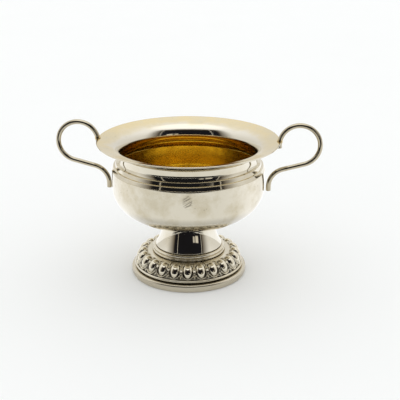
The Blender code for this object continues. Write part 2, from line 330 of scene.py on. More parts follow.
def thinned_gold(tree, axis, clouds, metal, bare, deep, thin, thick):
    """Gold that wears through to bare metal between the heights thin, with an edge that
    the clouds make wander, and turns to deep gold between the heights thick."""
    shift = add(tree, "Math", {1: 0.5}, {0: clouds}, operation="SUBTRACT")
    level = add(tree, "Math", {1: 5.0 * MM}, {0: shift, 2: axis["Z"]},
                operation="MULTIPLY_ADD")
    gold = add(tree, "MapRange", {"From Min": thin[0] * MM, "From Max": thin[1] * MM},
               {"Value": level}, interpolation_type="SMOOTHSTEP")
    worn = add(tree, "Mix", {6: linear(bare)}, {0: gold, 7: metal}, data_type="RGBA")
    inside = add(tree, "MapRange", {"From Min": thick[0] * MM, "From Max": thick[1] * MM},
                 {"Value": axis["Z"]}, interpolation_type="SMOOTHSTEP")
    return add(tree, "Mix", {6: linear(deep)}, {0: inside, 7: worn.outputs[2]},
               data_type="RGBA").outputs[2]


print("layers:", [layer.__name__ for layer in (wheel_lines, pitted, thinned_gold)])

# %% [markdown]
# A bowl that is handled for a hundred years has a patch where cleaning has rubbed an old
# mark away. What is left is a set of slanting scratches. A noise stretched along one
# direction crosses its middle value on long thin lines, so those lines are the scratches.

# %% The rubbed patch
SCRATCH_COLOUR = "#7d7462"
SCRATCH_TILT, SCRATCH_STRETCH, SCRATCH_APART = 57.0, 9.0, 0.9   # degrees, times, mm


def rubbed_patch(tree, here, colour, normal, centre, half):
    """Scratches inside an ellipsoid with this centre and these half sizes in mm. They are
    strong in its middle and fade to its edge. Gives the new colour and normal."""
    away = add(tree, "VectorMath", {1: tuple(value * MM for value in centre)}, {0: here},
               operation="SUBTRACT")
    scaled = add(tree, "VectorMath", {1: tuple(1 / (value * MM) for value in half)},
                 {0: away}, operation="MULTIPLY")
    reached = add(tree, "VectorMath", links={0: scaled}, operation="LENGTH")
    inside = add(tree, "MapRange", {"From Min": 0.3, "From Max": 1.25, **FALL},
                 {"Value": reached.outputs["Value"]}, interpolation_type="SMOOTHSTEP")
    slanted = add(tree, "Mapping", {"Rotation": (0.0, math.radians(SCRATCH_TILT), 0.0),
                                    "Scale": (1.0, 1.0, SCRATCH_STRETCH)},
                  {"Vector": here}, vector_type="TEXTURE")
    wander = add(tree, "TexNoise", {"Scale": 1 / (SCRATCH_APART * MM), "Detail": 0.0},
                 {"Vector": slanted})
    off_middle = add(tree, "Math", {1: 0.5}, {0: wander.outputs["Fac"]}, operation="SUBTRACT")
    nearness = add(tree, "Math", links={0: off_middle}, operation="ABSOLUTE")
    scratch = add(tree, "MapRange", {"From Min": 0.02, "From Max": 0.05, **FALL},
                  {"Value": nearness})
    scratched = add(tree, "Math", links={0: scratch, 1: inside}, operation="MULTIPLY")
    strength = add(tree, "Math", {1: 0.85}, {0: scratched}, operation="MULTIPLY")
    darker = add(tree, "Mix", {7: linear(SCRATCH_COLOUR)},
                 {0: strength, 6: colour}, data_type="RGBA")
    bump = add(tree, "Bump", {"Strength": 0.6, "Distance": 0.03 * MM},
               {"Height": scratched, "Normal": normal})
    return darker.outputs[2], bump


print("scratches about", SCRATCH_APART, "mm apart")

# %% [markdown]
# The finish starts from clean metal: metallic 1, and a roughness of a few hundredths for a
# mirror polish, which gives the eye sharp reflections, or two tenths for the gilding, which
# is soft because the gold lies on matt silver. The two hex colours are clean and tarnished.

# %% The polished metal finish
def polished_metal(name, bright, dull, patch, rough, wheel=0.35, wave=9.0, pit=0.5,
                   worn=None, rubbed=None):
    """Polished sheet. patch is the size in mm of the tarnish clouds, rough its lowest and
    highest roughness, wheel the spacing in mm of the polishing lines, wave the length in mm
    of the slow unevenness of hand work and pit the size in mm of a pit. worn holds the
    settings of thinned_gold, and rubbed those of rubbed_patch."""
    finish, tree = new_finish(name)
    here = add(tree, "TexCoord").outputs["Object"]
    axis = add(tree, "SeparateXYZ", links={"Vector": here}).outputs
    clouds = add(tree, "TexNoise", {"Scale": 1 / (patch * MM), "Detail": 4.0,
                                    "Roughness": 0.6}, {"Vector": here}).outputs["Fac"]
    tarnish = add(tree, "MapRange", {"From Min": 0.42, "From Max": 0.68}, {"Value": clouds})
    colour = add(tree, "Mix", {6: linear(bright), 7: linear(dull)},
                 {0: tarnish}, data_type="RGBA").outputs[2]
    if worn:
        colour = thinned_gold(tree, axis, clouds, colour, *worn)
    colour = pitted(tree, here, clouds, colour, pit)

    gloss = add(tree, "MapRange", {"From Min": 0.3, "From Max": 0.7, "To Min": rough[0],
                                   "To Max": rough[1]}, {"Value": clouds})
    hand = add(tree, "TexNoise", {"Scale": 1 / (wave * MM), "Detail": 1.0}, {"Vector": here})
    uneven = add(tree, "Bump", {"Strength": 1.0, "Distance": 0.05 * MM},
                 {"Height": hand.outputs["Fac"]})
    normal = add(tree, "Bump", {"Strength": 0.35, "Distance": 0.006 * MM},
                 {"Height": wheel_lines(tree, axis, wheel), "Normal": uneven})
    if rubbed:
        colour, normal = rubbed_patch(tree, here, colour, normal, *rubbed)
    return surface_of_metal(finish, colour, gloss, normal)


# Mirror polish with a little old warmth, for the turned rings.
polished_silver = polished_metal("polished_silver", "#ddd6c5", "#d3c9b2", 22.0, (0.04, 0.1))
# The same on the belly, which is held and wiped most: cloudier, pitted and scratched.
handled_silver = polished_metal("handled_silver", "#ddd6c5", "#cbc1a9", 12.0, (0.05, 0.12),
                                pit=0.4, rubbed=((3.2, -45.7, 60.5), (3.0, 3.0, 3.8)))
# Burnished harder, so that the stem shows sharp dark and light bars.
stem_silver = polished_metal("burnished_stem_silver", "#e0dacb", "#d6cdb8", 14.0,
                             (0.02, 0.05), wave=12.0)
# Pale thin gold on the flare, bare silver over the bend and deep gold in the neck.
rim_gilding = polished_metal("rubbed_gilding", "#decda3", "#d6cbae", 16.0, (0.06, 0.14),
                             worn=("#dcd6c8", "#cda850", (80.0, 82.6), (74.4, 76.6)))
# Thick matt gold inside the bowl, which turns amber as light goes from wall to wall.
deep_gilding = polished_metal("deep_gilding", "#dfc25c", "#c9a848", 9.0, (0.12, 0.26),
                              wave=5.0)


# %% [markdown]
# ## The flared rim collar
# The rim and the neck are one spinning: a flare that leans up a little, two bends into the
# neck and a hollow below it. Its outline is four smooth curves in a row, so it is drawn with
# arcs, given the sheet's thickness, and turned. The upper side and the inside are gilt. The
# gilding is rubbed pale on the flare and worn to bare silver over the bend.

# %% Make the rim collar
SHEET = 0.8                     # mm, the thickness of all the spun silver
NECK = (40.7, 74.0)             # narrowest place of the outside: radius, height
LOWER_BEND, UPPER_BEND = 7.7, 6.5       # radii
SLOPE, CHANGE = 14.5, 60.0      # degrees: slope of the flare, and where the bends meet
COVE, COVE_END = 5.5, 31.0      # radius of the hollow and the degrees it goes round


def flare_line():
    """The outside from the rim edge to the foot: a straight slope, an arc of the upper
    bend, an arc of the lower bend that ends upright at the neck, and the hollow below it."""
    lower_centre = np.array([NECK[0] + LOWER_BEND, NECK[1]])
    change = math.radians(CHANGE)
    toward_meet = np.array([-math.sin(change), math.cos(change)])
    upper_centre = lower_centre + (LOWER_BEND - UPPER_BEND) * toward_meet
    upper = arc(upper_centre, (UPPER_BEND, UPPER_BEND), 90 + SLOPE, 90 + CHANGE, 24)
    lower = arc(lower_centre, (LOWER_BEND, LOWER_BEND), 90 + CHANGE, 180, 24)
    cove = arc((NECK[0] + COVE, NECK[1]), (COVE, COVE), 180, 180 + COVE_END, 16)
    edge = RIM_RADIUS - SHEET / 2
    rise = (edge - upper[0, 0]) * math.tan(math.radians(SLOPE))
    return np.concatenate([[[edge, upper[0, 1] + rise]], upper, lower[1:], cove[1:]])


outside = spaced(flare_line(), 0.35)
run = np.gradient(outside, axis=0)
run /= np.linalg.norm(run, axis=1, keepdims=True)
inward = np.stack([run[:, 1], -run[:, 0]], 1)
collar_line = outside + inward * (SHEET / 2)
collar_line[0, 0] = RIM_RADIUS - SHEET / 2
section, side = sheet(collar_line, SHEET / 2)
print("collar radius and heights:", section[:, 0].max().round(2), section[:, 1].min().round(2),
      section[:, 1].max().round(2), "frame has", [round(v, 2) for v in reach("rim_collar")])

turned_piece("flared_rim_collar", section, WIDE, "rim_collar",
             (polished_silver, rim_gilding), side < 0)


# %% [markdown]
# ## The stepped shoulder ring
# Between the neck and the belly sits a ring with two level treads, each with a slightly
# sloped riser below. Its corners are crisp, so it is drawn from straight sides with the
# corners softened by a tenth of a millimetre or two.

# %% Make the shoulder ring
UPPER_TREAD, LOWER_TREAD = STEP_TOP, 69.0       # heights
INNER_EDGE, UPPER_EDGE, UPPER_RISER_FOOT, LOWER_EDGE = 40.6, 43.3, 44.0, 44.9   # radii
UNDERSIDE = (42.6, UPPER_TREAD - SHEET - 0.05)  # where wall and tread meet inside
CORNER_CUTS = (0.1, 0.22, 0.15, 0.22, 0.06, 0.12, 0.3)
WALL_MIDDLE = ((67.0, 45.4), (70.7, 42.9))      # height, radius: gilt lies inside this line
SEAT = 0.14                     # how far soldered pieces reach into the seam between them
ring_outline = [(INNER_EDGE, UPPER_TREAD - SHEET), (INNER_EDGE, UPPER_TREAD),
                (UPPER_EDGE, UPPER_TREAD), (UPPER_RISER_FOOT, LOWER_TREAD),
                (LOWER_EDGE, LOWER_TREAD), (STEP_RADIUS, STEP_FOOT - SEAT),
                (STEP_RADIUS - SHEET, STEP_FOOT - SEAT), UNDERSIDE,
                (INNER_EDGE, UPPER_TREAD - SHEET)]
ring_section = spaced(soften(ring_outline, CORNER_CUTS), 0.16)[:-1]
wall_middle = np.interp(ring_section[:, 1], *zip(*WALL_MIDDLE))
ring_gilt = (ring_section[:, 1] < UPPER_TREAD - 0.3) & (ring_section[:, 0] < wall_middle)
turned_piece("stepped_shoulder_ring", ring_section, WIDE, "shoulder_ring",
             (polished_silver, deep_gilding), ring_gilt)
print("rows of the ring:", len(ring_gilt), "of them gilt:", ring_gilt.sum())


# %% [markdown]
# ## The bowl
# The bowl is spun over a wooden form: an upright wall, then a round under-side, then a flat
# where the stem is soldered. The outline is a line, a quarter ellipse and a line. Gilt
# inside, polished silver outside.

# %% Make the bowl
FLAT_RADIUS, WALL_FOOT = 15.4, 55.4     # edge of the flat bottom, foot of the wall
ON_AXIS = 0.02                  # mm: a point nearer than this is put on the axis
bowl_axes = (BELLY_RADIUS - FLAT_RADIUS - SHEET / 2, WALL_FOOT - BELLY_FOOT - SHEET / 2)
bowl_line = np.concatenate([
    [[BELLY_RADIUS - SHEET / 2, BELLY_TOP + SEAT - SHEET / 2]],
    arc((FLAT_RADIUS, WALL_FOOT), bowl_axes, 0, -90, 90),
    [[0.0, BELLY_FOOT + SHEET / 2]]])
bowl_line = spaced(bowl_line, 0.5)
bowl_section, bowl_side = sheet(bowl_line, SHEET / 2, caps=(True, False))
bowl_section[np.abs(bowl_section[:, 0]) < ON_AXIS, 0] = 0.0
lip_inside = (bowl_side == 0) & (bowl_section[:, 0] < BELLY_RADIUS - SHEET / 2)
bowl_gilt = (bowl_side < 0) | lip_inside
turned_piece("spun_bowl", bowl_section, WIDE, "bowl_body",
             (handled_silver, deep_gilding), bowl_gilt)
print("bowl inside, depth in mm:", round(BELLY_TOP - BELLY_FOOT - SHEET, 2))


# %% [markdown]
# ## The stem
# The stem is a trumpet, spun and hollow: its radius grows with the drop from the top and
# with the cube of that drop. One line of points follows that rule, gets the sheet's
# thickness and is turned.

# %% Make the stem
STEM_TOP_RADIUS, STEM_CONE, STEM_FLARE = 15.27, 0.19, 0.00073
STEM_ROWS = 90
_, STEM_TOP, STEM_FOOT = reach("stem")
drop = np.linspace(STEM_TOP - BELLY_FOOT, STEM_TOP - STEM_FOOT, STEM_ROWS)
stem_radius = STEM_TOP_RADIUS + STEM_CONE * drop + STEM_FLARE * drop ** 3 - SHEET / 2
stem_line = np.stack([stem_radius, STEM_TOP - drop], 1)
stem_section, _ = sheet(stem_line, SHEET / 2)
turned_piece("trumpet_stem", stem_section, NARROW, "stem", (stem_silver,))
print("stem radius from", stem_radius.min().round(2), "to", stem_radius.max().round(2))

# %% [markdown]
# ## The two rings of the stem
# A thin ring of solder wire fills the corner under the bowl, and a double ring with a
# groove sits at the foot of the stem. Both are turned from arcs of ellipses.

# %% Make the solder ring and the double ring
SOLDER_HALF, SOLDER_REACH = 0.6, 0.1            # half width, and how far it goes into the seam
RING_RADIUS, _, RING_FOOT = reach("stem_top_ring")
ring_height = (BELLY_FOOT - RING_FOOT) / 2 + SOLDER_REACH
solder_section = arc((RING_RADIUS - SOLDER_HALF, RING_FOOT + ring_height),
                     (SOLDER_HALF, ring_height), 0, 360, 29)[:-1]
turned_piece("solder_ring", solder_section, NARROW, "stem_top_ring",
             (polished_silver,))

FOOT_RING_RADIUS, FOOT_RING_TOP, FOOT_RING_FOOT = reach("stem_collar")
DOME_HOLE = FOOT_RING_RADIUS - 3.2              # radius of the hole under the stem
BEAD_HALF, UPPER_HALF, LOWER_HALF = 0.75, 1.05, 0.7     # half width, and two half heights
UPPER_BACK = 1.0                                # how far the upper bead's middle is set in
double_ring_section = np.concatenate([
    arc((FOOT_RING_RADIUS - UPPER_BACK, FOOT_RING_TOP - UPPER_HALF), (BEAD_HALF, UPPER_HALF),
        100, -80, 22),
    arc((FOOT_RING_RADIUS - BEAD_HALF, FOOT_RING_FOOT + LOWER_HALF), (BEAD_HALF, LOWER_HALF),
        80, -90, 20),
    [[DOME_HOLE, FOOT_RING_FOOT], [DOME_HOLE, FOOT_RING_TOP]]])
turned_piece("double_ring", double_ring_section, NARROW, "stem_collar",
             (polished_silver,))
print("double ring height in mm:", round(FOOT_RING_TOP - FOOT_RING_FOOT, 2))


# %% [markdown]
# ## Stamped relief silver
# The border is stamped from thin sheet. Dirt and tarnish stay in its hollows, where a cloth
# can't reach, and painted shade deepens them; its high places are bright, so the eye reads
# the pattern at once. The mesh carries a value named hollow for each point, and the finish
# makes that darker and duller, as tarnish and as painted shade.

# %% The relief finish
BLOTCH_SIZE = 1.6                # mm


def relief_metal(name):
    """Bright where hollow is 0 and dark brown and dull where it is 1, broken up a little."""
    finish, tree = new_finish(name)
    here = add(tree, "TexCoord").outputs["Object"]
    hollow = add(tree, "Attribute", attribute_name="hollow")
    blotch_noise = add(tree, "TexNoise", {"Scale": 1 / (BLOTCH_SIZE * MM), "Detail": 3.0},
                {"Vector": here})
    broken = add(tree, "MapRange", {"From Min": 0.3, "From Max": 0.65, "To Min": 0.75,
                                    "To Max": 1.2}, {"Value": blotch_noise.outputs["Fac"]})
    # Darker where hollow is high: real tarnish in the hollows, and painted shade there too
    dark = add(tree, "Math", links={0: hollow.outputs["Fac"], 1: broken},
               operation="MULTIPLY", use_clamp=True)
    metal = add(tree, "Mix", {6: linear("#ddd5c1"), 7: linear("#2c2414")},
                {0: dark}, data_type="RGBA")
    gloss = add(tree, "MapRange", {"From Min": 0.0, "From Max": 1.0, "To Min": 0.07,
                                   "To Max": 0.34}, {"Value": dark})
    bump = add(tree, "Bump", {"Strength": 0.5, "Distance": 0.03 * MM},
               {"Height": blotch_noise.outputs["Fac"]})
    return surface_of_metal(finish, metal.outputs[2], gloss, bump)


stamped_silver = relief_metal("stamped_silver")


# %% [markdown]
# ## One egg and one dart
# An egg-and-dart border repeats one pattern: an egg in a raised U-shaped frame, then a
# pointed dart. The height of the relief is a plain function of two lengths: how far the
# point is from the middle of its egg sideways, and how far down the slope.

# %% The height of the relief
EGG_WIDTH, EGG_TAPER = 2.75, 0.08               # half width, and loss for each mm down
EGG_HEIGHT, EGG_FALL = 2.0, 0.2                 # height, and loss for each mm down
EGG_MIDDLE, EGG_LENGTH = -0.3, 4.6              # place down the slope, and half length
FRAME_SHARE, FRAME_HEIGHT, FRAME_RIDGE = 0.43, 1.0, 0.3     # of the pitch, mm, mm
FRAME_TURN, FRAME_BOTTOM = 0.2, 4.5             # end of the arms, and length of the curve
DART_HEIGHT, DART_STEM, DART_HEAD = 1.1, 0.2, 0.6           # height, and half widths
DART_TIP = 0.05                                 # half width at its thinnest
DART_OPENS, DART_CLOSES = (1.0, 2.4), (3.4, 4.9)            # places down the slope
SUNK = 0.4                      # mm that the ground of the pattern lies below the dome


def smooth_step(low, high, value):
    """0 below low, 1 above high, and 3 s^2 - 2 s^3 between them."""
    s = np.clip((value - low) / (high - low), 0, 1)
    return s * s * (3 - 2 * s)


def relief(sideways, down, pitch):
    """Height in mm of the stamped pattern. The egg is a half ellipsoid, the frame a ridge
    on a U that is an ellipse below and straight arms above, and the dart a pointed ridge
    half way between two eggs."""
    across = sideways / (EGG_WIDTH - EGG_TAPER * down)
    lengthways = (down - EGG_MIDDLE) / EGG_LENGTH
    egg = (EGG_HEIGHT - EGG_FALL * down) * np.sqrt(
        np.clip(1 - across ** 2 - lengthways ** 2, 0, 1))
    frame_width = FRAME_SHARE * pitch
    below = np.clip(down - FRAME_TURN, 0, None) / FRAME_BOTTOM
    from_frame = (np.hypot(sideways / frame_width, below) - 1) * frame_width
    frame = FRAME_HEIGHT * np.exp(-(from_frame / FRAME_RIDGE) ** 2)
    from_dart = pitch / 2 - np.abs(sideways)
    dart_width = (DART_STEM + DART_HEAD * smooth_step(*DART_OPENS, down)
                  - (DART_STEM + DART_HEAD) * smooth_step(*DART_CLOSES, down))
    dart = DART_HEIGHT * np.clip(1 - from_dart / np.clip(dart_width, DART_TIP, None), 0, 1)
    return np.maximum(np.maximum(egg, frame), dart) - SUNK


print("height at the middle of an egg in mm:", round(float(relief(0.0, 0.0, 7.5)), 2))

# %% [markdown]
# ## The egg-and-dart border
# The dome is a quarter ellipse turned round the axis. On a grid of angle and distance down
# the dome, each point is lifted along its normal by the height of the relief, which fades
# out above and below the pattern. Where the ground lies deep the hollow value is high.

# %% Work out the border
EGG_COUNT, FIRST_EGG = 24, math.radians(3.4)
DOME_CENTRE, DOME_AXES, EGG_ANGLE = (23.3, 6.2), (8.9, 7.9), 40.0
DOME_TOP, DOME_END = 90, 6      # degrees
EGG_COLUMNS, DOME_ROWS = 36, 84
TARNISH_SHADE_DEPTH = 0.55              # mm above the ground where the last tarnish and painted shade end
PATTERN_IN, PATTERN_OUT = (-6.2, -4.4), (4.6, 5.2)      # places down the slope
TARNISH_SHADE_IN, TARNISH_SHADE_OUT = (-5.2, -3.6), (3.9, 4.8)          # likewise
TARNISH_SHADE_ABOVE, TARNISH_SHADE_LOST = 0.4, 0.6                      # shares of the hollow value

angle = np.linspace(0, 2 * np.pi, EGG_COUNT * EGG_COLUMNS, endpoint=False)[None, :]
from_egg = (angle + np.pi / EGG_COUNT) % (2 * np.pi / EGG_COUNT) - np.pi / EGG_COUNT
slope = np.radians(np.linspace(DOME_TOP, DOME_END, DOME_ROWS))[:, None]
r = DOME_CENTRE[0] + DOME_AXES[0] * np.cos(slope)
z = DOME_CENTRE[1] + DOME_AXES[1] * np.sin(slope)
normal = np.concatenate([np.cos(slope) / DOME_AXES[0], np.sin(slope) / DOME_AXES[1]], 1)
normal /= np.linalg.norm(normal, axis=1, keepdims=True)
step = np.hypot(np.diff(r[:, 0]), np.diff(z[:, 0]))
down = np.concatenate([[0], np.cumsum(step)])
down -= np.interp(-EGG_ANGLE, -np.degrees(slope[:, 0]), down)
down = down[:, None]
pitch = r * 2 * np.pi / EGG_COUNT
fade = smooth_step(*PATTERN_IN, down) * (1 - smooth_step(*PATTERN_OUT, down))
height = relief(from_egg * r, down, pitch) * fade
# The hollow value darkens the metal in the deep places, as tarnish and as painted shade, less
# above and below the eggs
hollow = np.clip(1 - (height + SUNK) / TARNISH_SHADE_DEPTH, 0, 1)
hollow = hollow * (TARNISH_SHADE_ABOVE + (1 - TARNISH_SHADE_ABOVE) * smooth_step(*TARNISH_SHADE_IN, down))
hollow = hollow * (1 - TARNISH_SHADE_LOST * smooth_step(*TARNISH_SHADE_OUT, down))
print("relief height in mm:", height.max().round(2), "pitch at the eggs:",
      round(float(np.interp(0, down[:, 0], pitch[:, 0])), 2))

# %% [markdown]
# The stamped sheet is thin, so the skin goes on round the lower edge and up the plain under
# side. The first egg stands a little to the right of the front, so the angles are turned
# before the points are placed.

# %% Make the border
# The plain under side gets a fixed hollow value, so it is darkened as tarnish and painted shade
UNDER_HOLLOW = 0.3
turned_angle = angle + FIRST_EGG - np.pi / 2
top_r, top_z = r + normal[:, :1] * height, z + normal[:, 1:] * height
outer = carry_round(top_r, top_z, turned_angle)
dome_summit = DOME_CENTRE[1] + DOME_AXES[1]
under = np.concatenate([
    arc(DOME_CENTRE, (DOME_AXES[0] - SHEET, DOME_AXES[1] - SHEET), DOME_END, DOME_TOP, 8),
    [[DOME_HOLE, dome_summit - SHEET], [DOME_HOLE, dome_summit]]])
under_grid = carry_round(under[:, :1], under[:, 1:], turned_angle)
hollow_grid = np.concatenate([hollow, np.full(under_grid.shape[:2], UNDER_HOLLOW)])
egg_border = skin("egg_and_dart_border", np.concatenate([outer, under_grid]),
                  finishes=(stamped_silver,), marks={"hollow": hollow_grid})
place(egg_border, "egg_border")


# %% [markdown]
# ## Rolled silver
# Stock for bands was rolled between engraved wheels, which left slanting lines. A hundred
# years of rubbing leaves them faint, so the band looks satin and not mirror bright. The real
# lines are finer than these, which are just coarse enough to show.

# %% The rolled finish
LINES_ROUND, LINE_CLIMB = 170.0, 0.22           # lines in one turn, and mm up for each radian
RUB_SIZE = 6.0                                  # mm


def rolled_metal(name):
    """Slanting lines: sin(n a + k z), with n whole so that the lines meet after one turn.
    The lines are shallow and rubbed, so a slow noise makes them come and go."""
    finish, tree = new_finish(name)
    here = add(tree, "TexCoord").outputs["Object"]
    axis = add(tree, "SeparateXYZ", links={"Vector": here})
    around = add(tree, "Math", links={0: axis.outputs["Y"], 1: axis.outputs["X"]},
                 operation="ARCTAN2")
    climb = add(tree, "Math", {1: 1 / (LINE_CLIMB * MM)}, {0: axis.outputs["Z"]},
                operation="MULTIPLY")
    phase = add(tree, "Math", {1: LINES_ROUND}, {0: around, 2: climb},
                operation="MULTIPLY_ADD")
    line = add(tree, "Math", links={0: phase}, operation="SINE")
    rub = add(tree, "TexNoise", {"Scale": 1 / (RUB_SIZE * MM), "Detail": 3.0},
              {"Vector": here})
    left = add(tree, "MapRange", {"From Min": 0.4, "From Max": 0.65},
               {"Value": rub.outputs["Fac"]})
    cut = add(tree, "Math", links={0: line, 1: left}, operation="MULTIPLY")
    tone = add(tree, "MapRange", {"From Min": -0.6, "From Max": 1.0}, {"Value": cut})
    metal = add(tree, "Mix", {6: linear("#bdb4a0"), 7: linear("#ded6c4")},
                {0: tone}, data_type="RGBA")
    gloss = add(tree, "MapRange", {"To Min": 0.16, "To Max": 0.3},
                {"Value": rub.outputs["Fac"]})
    bump = add(tree, "Bump", {"Strength": 0.5, "Distance": 0.03 * MM}, {"Height": cut})
    return surface_of_metal(finish, metal.outputs[2], gloss, bump)


rolled_silver = rolled_metal("rolled_silver")

# %% [markdown]
# ## The bead and the base band
# A small round bead closes the border, and a plain rounded band carries the bowl. The bead
# is a turned circle. The band is drawn from a shoulder and a long roll below it, each an
# arc of an ellipse, with a straight inside.

# %% Make the bead and the band
BEAD_RADIUS, BEAD_TOP, BEAD_FOOT = reach("foot_bead")
bead_wire = (BEAD_TOP - BEAD_FOOT) / 2
bead_section = arc((BEAD_RADIUS - bead_wire, BEAD_TOP - bead_wire), (bead_wire, bead_wire),
                   0, 360, 25)[:-1]
turned_piece("foot_bead_ring", bead_section, WIDE, "foot_bead", (polished_silver,))

BAND_RADIUS, BAND_TOP, BAND_FOOT = reach("base_band")
BAND_INNER, BAND_ROUND = 30.4, 1.1              # inside radius, and half width of both arcs
SHOULDER_HEIGHT, ROLL_HEIGHT = 1.3, 2.0
band_outline = np.concatenate([
    [[BAND_INNER, BAND_FOOT], [BAND_INNER, BAND_TOP], [BAND_RADIUS - 1.3, BAND_TOP]],
    arc((BAND_RADIUS - BAND_ROUND, BAND_TOP - SHOULDER_HEIGHT),
        (BAND_ROUND, SHOULDER_HEIGHT), 78, 0, 14),
    arc((BAND_RADIUS - BAND_ROUND, ROLL_HEIGHT), (BAND_ROUND, ROLL_HEIGHT), -4, -68, 12),
    [[BAND_RADIUS - 1.0, BAND_FOOT], [BAND_INNER, BAND_FOOT]]])
band_section = spaced(band_outline, 0.3)[:-1]
turned_piece("base_band_ring", band_section, WIDE, "base_band", (rolled_silver,))
print("bead wire in mm:", round(2 * bead_wire, 2), "band height:", round(BAND_TOP - BAND_FOOT, 2))


# %% [markdown]
# ## The wire handles
# Each handle is one length of 3 mm wire bent cold: a short tab over the rim, three quarters
# of a turn round a rod, a straight run back and a bend down the side of the bowl. A bent
# wire is known by how fast its heading changes, so the route is worked out that way: the
# curvature is given along the length, its running sum is the heading, and the running sum
# of the heading's cosine and sine is the place.

# %% Work out the route of the wire
WIRE = 1.5                      # mm, half the thickness of the wire
FIRST_HEADING = 93.0            # degrees: the tab leans a little over the rim
STRETCHES = (                   # length in mm and turn in degrees of each part of the wire
    (1.5, 0.0),
    (math.radians(258.0) * 12.0, -258.0),
    (13.4, 0.0),
    (math.radians(75.0) * 11.1, 75.0),
    (2.6, 0.0))
STEP, EASE = 0.25, 9            # mm, and the steps over which one bend eases into the next


def wire_route():
    """Route in the (outward, up) plane, moved so that its box meets the CAD handle's."""
    lengths, turns = np.array(STRETCHES).T
    ends = np.cumsum(lengths)
    along = np.arange(0, ends[-1] + STEP / 2, STEP)
    part = np.clip(np.searchsorted(ends, along), 0, len(lengths) - 1)
    curvature = np.radians(turns / lengths)[part]
    curvature = np.convolve(np.pad(curvature, EASE // 2, mode="edge"), np.ones(EASE) / EASE,
                            mode="valid")
    heading = math.radians(FIRST_HEADING) + np.cumsum(curvature) * STEP
    place_xz = np.stack([np.cumsum(np.cos(heading)), np.cumsum(np.sin(heading))], 1) * STEP
    low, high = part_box("handle_right")
    place_xz[:, 0] += high.x / MM - WIRE - place_xz[:, 0].max()
    place_xz[:, 1] += high.z / MM - WIRE - place_xz[:, 1].max()
    return along, place_xz, heading


along, route, heading = wire_route()
print("wire length in mm:", along[-1].round(1), "foot of the handle at", route[-1].round(2),
      "start at", route[0].round(2))

# %% [markdown]
# ## Drawn silver wire
# Wire is pulled through a hole in a hard plate, which leaves faint lines along its length.
# Each point of the mesh carries its place on the wire, named on_wire, so that the lines
# follow the bends. Handling keeps the wire bright, so the eye sees sharp gleams on a darker
# round. Just below the rim a pale gold tint is painted on: a painted reflection of the gilt rim.

# %% The wire finish
TARNISH_SIZE = 7.0              # mm


def drawn_metal(name):
    """Drawn wire polished by hand: faint long lines, a little tarnish in clouds."""
    finish, tree = new_finish(name)
    here = add(tree, "TexCoord").outputs["Object"]
    on_wire = add(tree, "Attribute", attribute_name="on_wire").outputs["Vector"]
    clouds = add(tree, "TexNoise", {"Scale": 1 / (TARNISH_SIZE * MM), "Detail": 3.0},
                 {"Vector": here})
    metal = add(tree, "Mix", {6: linear("#cdc5b1"), 7: linear("#aca086")},
                {0: clouds.outputs["Fac"]}, data_type="RGBA")
    # Pale gold painted just below the rim: a painted reflection of the gilt rim in the wire
    gold = add(tree, "Attribute", attribute_name="rim_reflection_paint")
    with_rim_reflection = add(tree, "Mix", {7: linear("#cbb27c")},
                 {0: gold.outputs["Fac"], 6: metal.outputs[2]}, data_type="RGBA")
    lines = add(tree, "TexNoise", {"Scale": 3.0, "Detail": 2.0}, {"Vector": on_wire})
    gloss = add(tree, "MapRange", {"To Min": 0.03, "To Max": 0.12},
                {"Value": lines.outputs["Fac"]})
    bump = add(tree, "Bump", {"Strength": 0.3, "Distance": 0.008 * MM},
               {"Height": lines.outputs["Fac"]})
    return surface_of_metal(finish, with_rim_reflection.outputs[2], gloss, bump)


drawn_silver = drawn_metal("drawn_silver_wire")

# %% [markdown]
# ## The two handles
# The section of the wire is a circle carried along the route. It swells a little where the
# solder runs up it at the rim, and it closes to a flat end with a small bevel. The other
# handle is the same grid with its outward direction turned over.

# %% Make the two handles
AROUND_WIRE = 40
END_PLACES = np.array([0.0, 0.04, 0.12, 0.25])  # mm from each end
END_SIZES = np.array([0.0, 0.8, 0.93, 0.98])    # share of the full radius there
UNDER_RIM = 0.4                 # mm from the top of the rim to the solder
SWELL, SWELL_REACH = 0.25, 0.7  # mm
# Pale gold painted on the wire just below the rim, a painted reflection of the gilt rim:
# strength, mm below the rim, mm of spread
REFLECTION_PAINT, REFLECTION_PAINT_BELOW, REFLECTION_PAINT_REACH = 0.85, 0.5, 1.1   # strength, mm, mm
ALONG_SCALE = 0.06              # how fast the lines change along the wire: 1 is as round it


